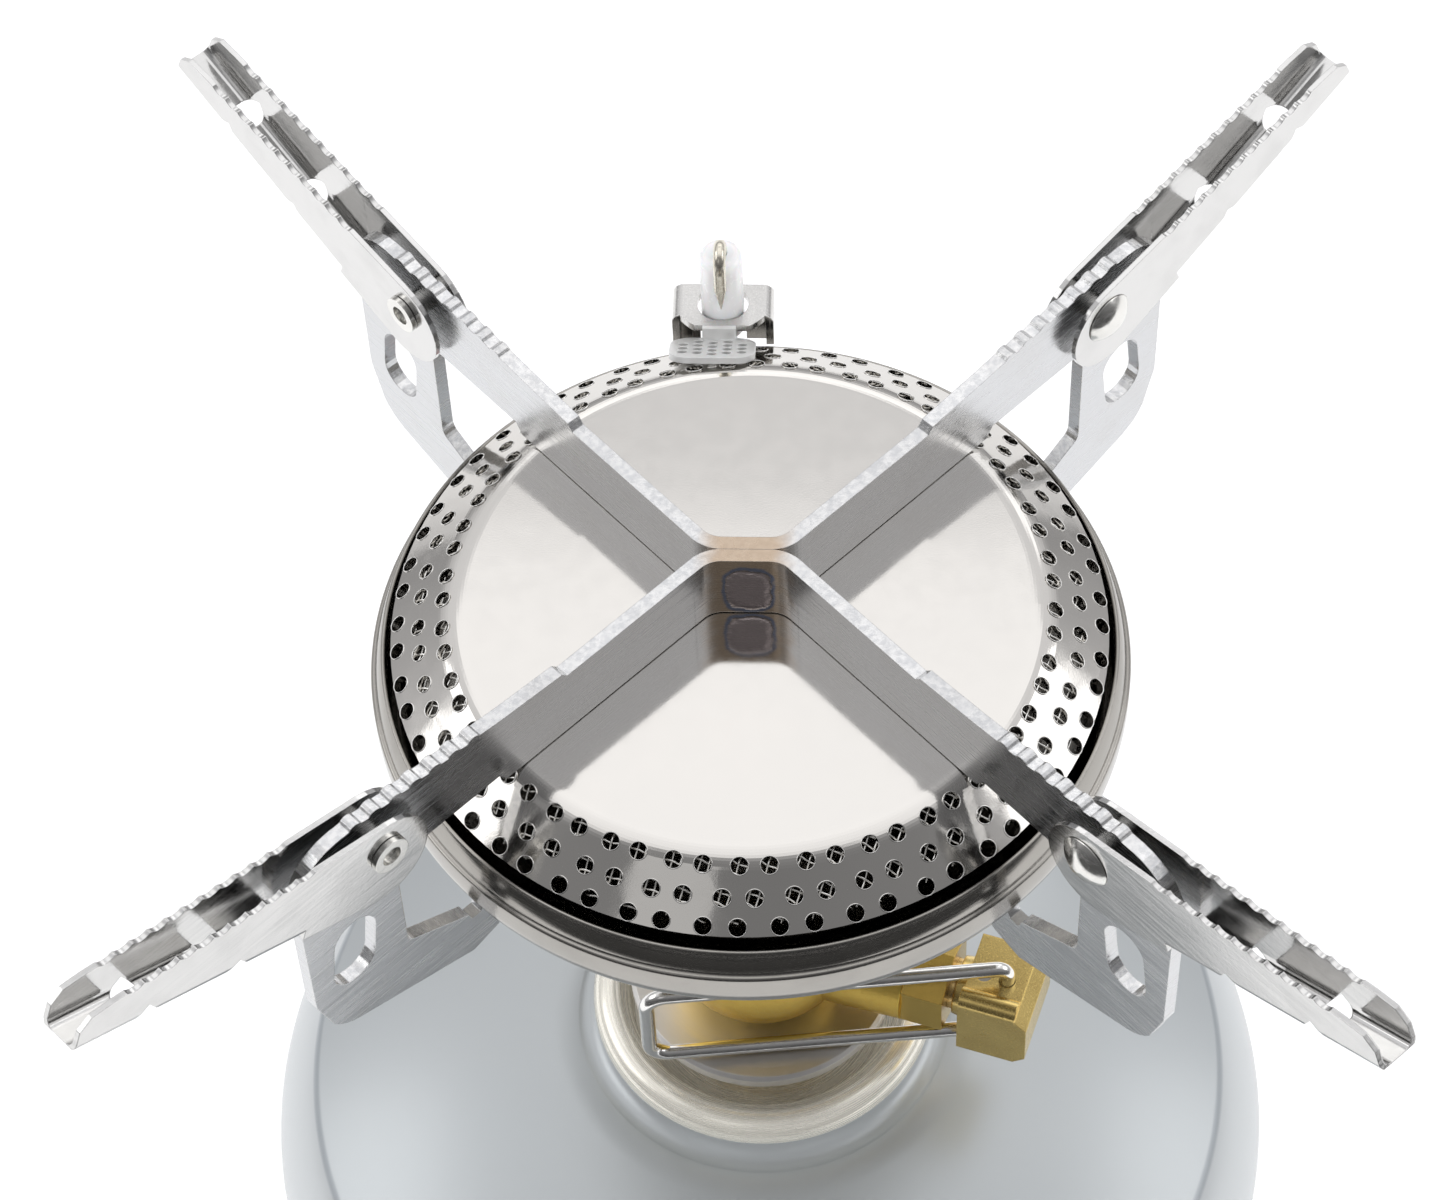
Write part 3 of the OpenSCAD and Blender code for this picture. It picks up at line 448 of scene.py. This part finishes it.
def make_materials():
    """One material for each slot of the record."""
    return {
        "canister_paint": canister_paint(),
        "cup_steel": turned_steel("cup_steel", (0.93, 0.90, 0.81), 0.26, metallic=0.6).mat,
        "seal_rubber": plastic("seal_rubber", (0.025, 0.025, 0.027), 0.55),
        "stem_plastic": plastic("stem_plastic", (0.80, 0.78, 0.72), 0.45),
        "spring_steel": wire_steel("spring_steel", (0.62, 0.62, 0.63), 0.25),
        "disc_aluminium": turned_steel("disc_aluminium", (0.84, 0.82, 0.79), 0.42, along=9.0).mat,
        "cast_brass": brass("cast_brass", (0.95, 0.67, 0.16), 0.40, 2.6, 0.05, spread=0.1),
        "turned_brass": brass("turned_brass", (0.83, 0.61, 0.27), 0.26, 5.0, 0.01),
        "tube_steel": turned_steel("tube_steel", (0.62, 0.61, 0.60), 0.28).mat,
        "bowl_steel": turned_steel("bowl_steel", (0.36, 0.345, 0.32), 0.16, along=5.0, spread=0.04).mat,
        "cap_steel": cap_steel(),
        "mesh_steel": wire_steel("mesh_steel", (0.86, 0.85, 0.82), 0.22),
        "support_steel": support_steel(),
        "rivet_steel": steel("rivet_steel", (0.76, 0.75, 0.72), 0.2, streak=(2, 2, 2)).mat,
        "bracket_steel": steel("bracket_steel", (0.70, 0.69, 0.67), 0.22, streak=(5.0, 5.0, 0.15)).mat,
        "target_steel": steel("target_steel", (0.86, 0.86, 0.85), 0.38, streak=(3, 3, 3), metallic=0.55).mat,
        "ceramic": ceramic(),
        "electrode_wire": wire_steel("electrode_wire", (0.72, 0.68, 0.58), 0.22),
        "lead_plastic": plastic("lead_plastic", (0.03, 0.03, 0.03), 0.4),
        "housing_plastic": plastic("housing_plastic", (0.03, 0.03, 0.033), 0.42),
        "nut_brass": brass("nut_brass", (0.68, 0.47, 0.12), 0.22, 4.0, 0.006),
        "block_brass": brass("block_brass", (0.80, 0.60, 0.22), 0.25, 4.0, 0.008),
        "pin_steel": wire_steel("pin_steel", (0.40, 0.38, 0.35), 0.35),
        "bail_wire": wire_steel("bail_wire", (0.80, 0.79, 0.77), 0.14),
        "arm_steel": steel(
            "arm_steel", (0.66, 0.655, 0.645), 0.15, (0.15, 0.15, 3.0), 0.003, 0.05).mat,
        "button_plastic": plastic("button_plastic", (0.50, 0.045, 0.03), 0.3, 3.0, 0.01),
    }


def paint_nodes(materials):
    """Every CAD node takes the material of its own slot."""
    slots = {part["node"]: part["material_slot"] for part in frame["record"]["subparts"]}
    for name, obj in nodes.items():
        obj.data.materials.clear()
        obj.data.materials.append(materials[slots[name]])


# ---------------------------------------------------------------- detailed pieces

def finish_piece(obj, body, slot_name, materials, *replaced):
    """Gives a piece the material of its slot and its body, and hides the CAD nodes that it stands for."""
    obj.data.materials.append(materials[slot_name])
    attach(obj, body)
    if replaced:
        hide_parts(*replaced)
    return obj


def mesh_object(name, verts, faces):
    mesh = bpy.data.meshes.new(name)
    mesh.from_pydata(verts, [], faces)
    mesh.validate()
    mesh.update()
    for polygon in mesh.polygons:
        polygon.use_smooth = True
    obj = bpy.data.objects.new(name, mesh)
    bpy.context.scene.collection.objects.link(obj)
    return obj


def tube(verts, faces, path, radius, sides=5):
    """Adds a round wire along a path of points, with closed ends."""
    start = len(verts)
    count = len(path)
    for i, point in enumerate(path):
        ahead = path[min(i + 1, count - 1)] - path[max(i - 1, 0)]
        side = ahead.cross(Vector((0, 0, 1))).normalized()
        up = side.cross(ahead).normalized()
        for k in range(sides):
            angle = 2 * math.pi * k / sides
            verts.append(point + radius * (math.cos(angle) * side + math.sin(angle) * up))
    for i in range(count - 1):
        for k in range(sides):
            a = start + i * sides + k
            b = start + i * sides + (k + 1) % sides
            faces.append((a, b, b + sides, a + sides))
    faces.append(tuple(start + k for k in reversed(range(sides))))
    faces.append(tuple(start + (count - 1) * sides + k for k in range(sides)))


def lathe(name, profile):
    """A smooth surface of revolution round the stove's axis, from a closed profile of (radius, height)."""
    segments = 256
    verts = []
    faces = []
    count = len(profile)
    for i in range(segments):
        angle = 2 * math.pi * i / segments
        verts += [(r * math.cos(angle), r * math.sin(angle), z) for r, z in profile]
    for i in range(segments):
        j = (i + 1) % segments
        for k in range(count):
            m = (k + 1) % count
            faces.append((i * count + k, j * count + k, j * count + m, i * count + m))
    return mesh_object(name, verts, faces)


def band_height(radius_mm):
    """Height of the mesh below the cap's top, in millimetres: level, then down with the cap's slope."""
    level, bend_r, slope = -0.88, 26.2, 36
    return level - max(0.0, radius_mm - bend_r) * math.tan(math.radians(slope))


def make_wire_mesh(materials):
    """Woven wire under the flame holes, turned a little from the stove's own axes."""
    pitch = 0.78
    wire = 0.115
    inner = 23.2
    outer = CAP_R / MM - 1.1
    step = pitch / 2
    turn = math.radians(-19)
    verts = []
    faces = []
    rows = int(outer / pitch)
    for family in (0, 1):
        for row in range(-rows, rows + 1):
            path = []
            count = int(2 * outer / step)
            for i in range(count + 1):
                along = -outer + i * step
                across = row * pitch
                x, y = (along, across) if family == 0 else (across, along)
                radius = math.hypot(x, y)
                if inner < radius < outer:
                    over = math.cos(math.pi * (along / pitch + row)) * (1 if family == 0 else -1)
                    place = Matrix.Rotation(turn, 2) @ Vector((x, y))
                    height = band_height(radius) + over * wire
                    path.append(Vector((place.x, place.y, CAP_TOP / MM + height)) * MM)
                else:
                    if len(path) > 1:
                        tube(verts, faces, path, wire * MM, 4)
                    path = []
            if len(path) > 1:
                tube(verts, faces, path, wire * MM, 4)
    obj = mesh_object("woven_mesh", verts, faces)
    finish_piece(obj, "stove", "mesh_steel", materials, "wire_mesh")


def arc(x, y, radius, start, end, count=16):
    """Points along an arc, from one angle in degrees to another."""
    turns = [math.radians(start + (end - start) * i / count) for i in range(count + 1)]
    return [(x + radius * math.cos(t), y + radius * math.sin(t)) for t in turns]


def shell_line(inset):
    """Side view of the canister's shell: wall, shoulder, dome, concave ring and neck."""
    can_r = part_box("canister_shell")[1].x / MM
    wall_top, dome_r, dome_z = 62.3, 46.3, 73.5
    shoulder = ((dome_z - wall_top) ** 2 + (can_r - dome_r) ** 2) / (2 * (can_r - dome_r))
    shoulder_turn = math.degrees(math.asin((dome_z - wall_top) / shoulder))
    dome, dome_from, dome_to = 80.5, 60, 80
    dome_x = dome_r - dome * math.cos(math.radians(dome_from))
    dome_y = dome_z - dome * math.sin(math.radians(dome_from))
    ring_r, ring_z, ring = 18.2, 85.0, 2.1
    return (
        [(can_r - inset, 9.0), (can_r - inset, 9.3), (can_r - inset, wall_top - 0.5)]
        + arc(can_r - shoulder, wall_top, shoulder - inset, 0, shoulder_turn, 40)
        + arc(dome_x, dome_y, dome - inset, dome_from + 0.4, dome_to - 0.8, 40)
        + arc(ring_r, ring_z, ring + inset, -72, -180, 24)
    )


def make_canister(materials):
    """The shell again, spun from fine arcs, so that its wide gloss stays smooth."""
    outer = shell_line(0)
    inner = shell_line(0.6)
    profile = [(r * MM, z * MM) for r, z in outer + inner[::-1]]
    shell = lathe("smooth_shell", profile)
    finish_piece(shell, "canister", "canister_paint", materials, "canister_shell")


def make_bowl(materials):
    """The burner bowl with rolled lips, spun from fine arcs."""
    top = CAP_TOP / MM
    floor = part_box("burner_bowl")[0].z / MM
    bowl_r = BOWL_R / MM
    tube_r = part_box("mixing_tube")[1].x / MM
    corner, sheet = 4.5, 0.8
    bend = (bowl_r - corner, floor + corner)
    outer = (
        [(32.3, top - 5.5)] + arc(32.52, top - 5.42, 0.22, 180, 40, 8)
        + [(33.15, top - 6.9), (33.3, top - 7.25), (33.32, top - 7.5)]
        + arc(bowl_r - 0.3, top - 8.05, 0.3, 110, 0, 6)
        + arc(*bend, corner, 0, -90, 24)
        + [(20, floor), (tube_r, floor)]
    )
    inner = (
        [(tube_r, floor + sheet), (20, floor + sheet)]
        + arc(*bend, corner - sheet, -90, 0, 16)
        + [(bowl_r - sheet, top - 8.4), (32.3, top - 7.8)]
    )
    bowl = lathe("spun_bowl", [(r * MM, z * MM) for r, z in outer + inner])
    finish_piece(bowl, "stove", "bowl_steel", materials, "burner_bowl")


def make_hole_lips(materials):
    """The raised, bright lip that punching leaves round each flame hole."""
    pairs, gap = 30, 5.4
    rows = ((26.9, 31, 2.85), (29.1, 37, 0), (31.07, 37, -2.8))
    shoulder_r, shoulder = 24.8, 4.0
    slope = math.radians(37)
    start_r = shoulder_r + shoulder * math.sin(slope)
    start_z = -shoulder * (1 - math.cos(slope))
    lip_r, lip_wire, around, across = 0.79, 0.055, 20, 6
    verts = []
    faces = []
    for radius, tilt, shift in rows:
        height = start_z - (radius - start_r) * math.tan(slope) + 0.01
        lean = Matrix.Rotation(math.radians(tilt), 4, "Y")
        for i in range(pairs):
            for side in (-0.5, 0.5):
                turn = math.radians(shift - 90 + 360 * i / pairs + side * gap)
                place = (Matrix.Rotation(turn, 4, "Z")
                         @ Matrix.Translation((radius * MM, 0, CAP_TOP + height * MM)) @ lean)
                start = len(verts)
                for j in range(around):
                    a = 2 * math.pi * j / around
                    for k in range(across):
                        b = 2 * math.pi * k / across
                        r = lip_r + lip_wire * math.cos(b)
                        verts.append(place @ (Vector(
                            (r * math.cos(a), r * math.sin(a), lip_wire * math.sin(b))) * MM))
                for j in range(around):
                    for k in range(across):
                        faces.append(tuple(
                            start + ((j + dj) % around) * across + (k + dk) % across
                            for dj, dk in ((0, 0), (1, 0), (1, 1), (0, 1))))
    lips = mesh_object("hole_lips", verts, faces)
    finish_piece(lips, "stove", "cap_steel", materials)


def make_pieces(materials):
    make_canister(materials)
    make_bowl(materials)
    make_wire_mesh(materials)
    make_hole_lips(materials)


make_camera()
make_world()
make_lights()
make_floor()
make_flag()
all_materials = make_materials()
paint_nodes(all_materials)
make_pieces(all_materials)
